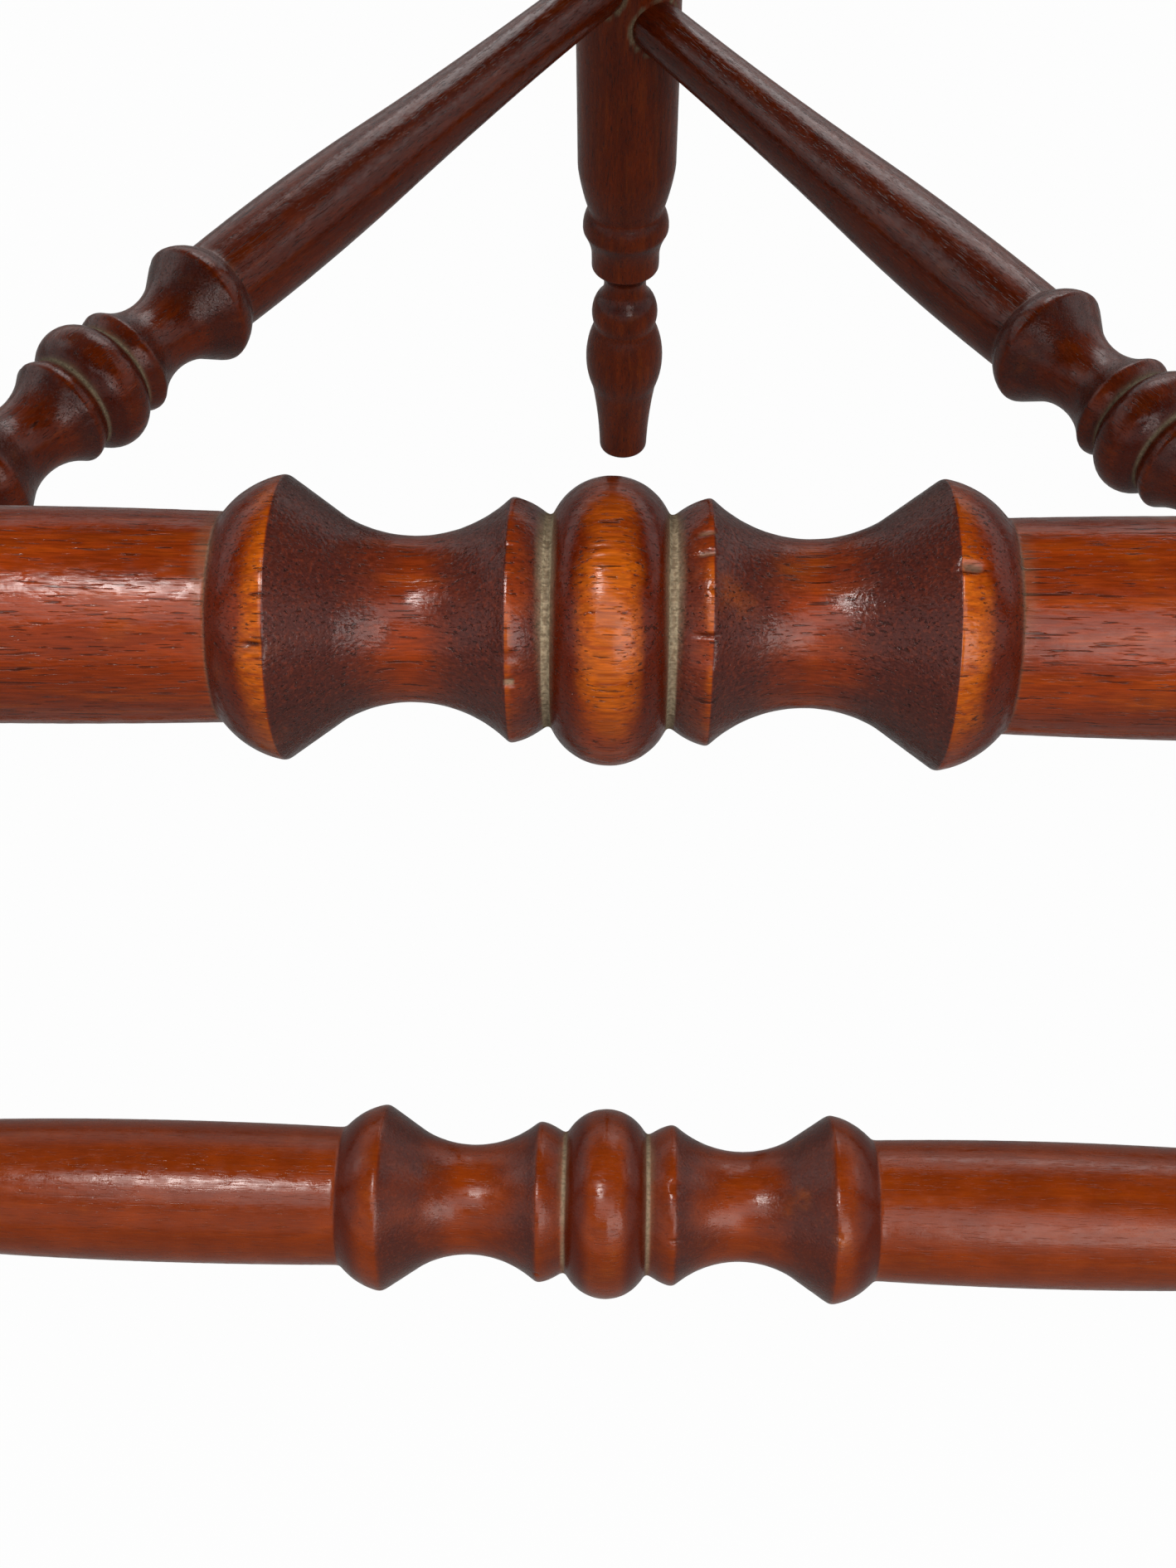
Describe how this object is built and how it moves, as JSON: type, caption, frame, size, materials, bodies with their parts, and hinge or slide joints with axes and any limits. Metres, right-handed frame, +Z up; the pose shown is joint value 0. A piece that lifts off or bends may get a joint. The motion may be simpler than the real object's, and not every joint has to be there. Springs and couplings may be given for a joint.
{
  "type": "corner chair",
  "caption": "Low three-cornered chair with turned legs, ringed stretchers, a triangular rush seat, a spindled back and a flat bent arm with a crest.",
  "frame": {"origin": "on the floor, under the middle of the chair's outline", "axes": "+Z up; the open front of the seat faces -Y, and the single rear leg stands towards +Y"},
  "size_m": [0.5722, 0.4743, 0.744],
  "materials": {
    "stained_wood": "worn red mahogany stain under varnish",
    "bare_wood": "plain unfinished",
    "rush": "twisted natural rush, aged",
    "stuffing": "loose dry rush"
  },
  "bodies": {
    "root": {"left_front_leg": "stained_wood", "right_front_leg": "stained_wood", "rear_leg": "stained_wood", "lower_front_stretcher": "stained_wood", "lower_left_stretcher": "stained_wood", "lower_right_stretcher": "stained_wood", "upper_front_stretcher": "stained_wood", "upper_left_stretcher": "stained_wood", "upper_right_stretcher": "stained_wood", "left_back_rail": "stained_wood", "right_back_rail": "stained_wood", "left_arm": "stained_wood", "right_arm": "stained_wood", "crest": "stained_wood", "left_spindle_1": "stained_wood", "left_spindle_2": "stained_wood", "left_spindle_3": "stained_wood", "left_spindle_4": "stained_wood", "right_spindle_1": "stained_wood", "right_spindle_2": "stained_wood", "right_spindle_3": "stained_wood", "right_spindle_4": "stained_wood", "front_seat_rail": "bare_wood", "left_seat_rail": "bare_wood", "right_seat_rail": "bare_wood", "post_wedges": "bare_wood", "crest_dowels": "bare_wood", "rush_seat": "rush", "seat_stuffing": "stuffing"}
  },
  "joints": []
}
